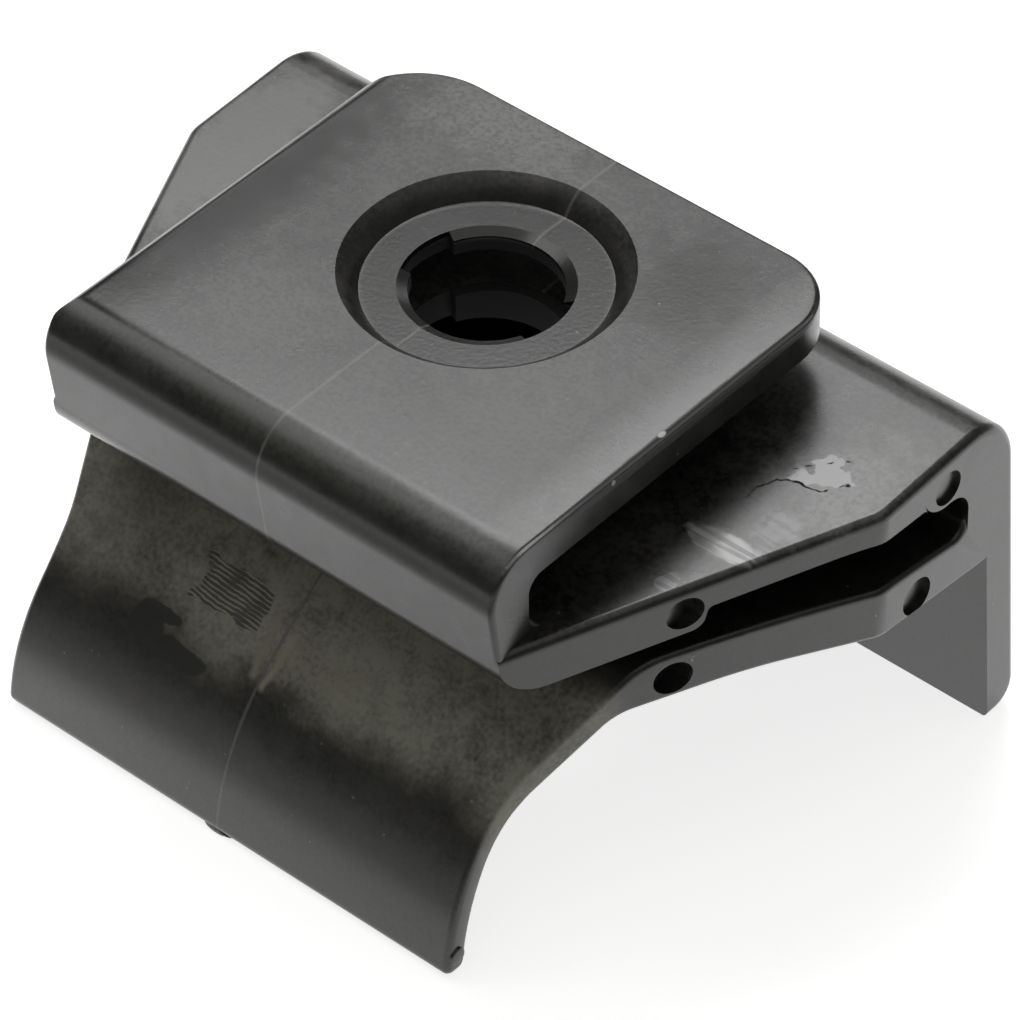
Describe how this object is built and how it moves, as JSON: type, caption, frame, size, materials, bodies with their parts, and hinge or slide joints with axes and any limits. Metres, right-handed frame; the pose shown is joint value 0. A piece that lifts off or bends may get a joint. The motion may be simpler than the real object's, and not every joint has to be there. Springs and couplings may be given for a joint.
{
  "type": "bumper clip",
  "caption": "Moulded bumper clip: a countersunk, keyed screw pad folded over flared leaves, with a deep hook wall at the back and a ramped tongue at the front.",
  "frame": {"origin": "screw axis at the top edge of the screw hole's wall, just under the countersink floor", "axes": "+Z along the screw axis out of the pad face, +X across the clip along its longest side, +Y towards the hook wall"},
  "size_m": [0.0376, 0.0286, 0.0211],
  "materials": {
    "black_plastic": "satin with a fine grain and light scuffs"
  },
  "bodies": {
    "root": {"clip_body": "black_plastic"}
  },
  "joints": []
}
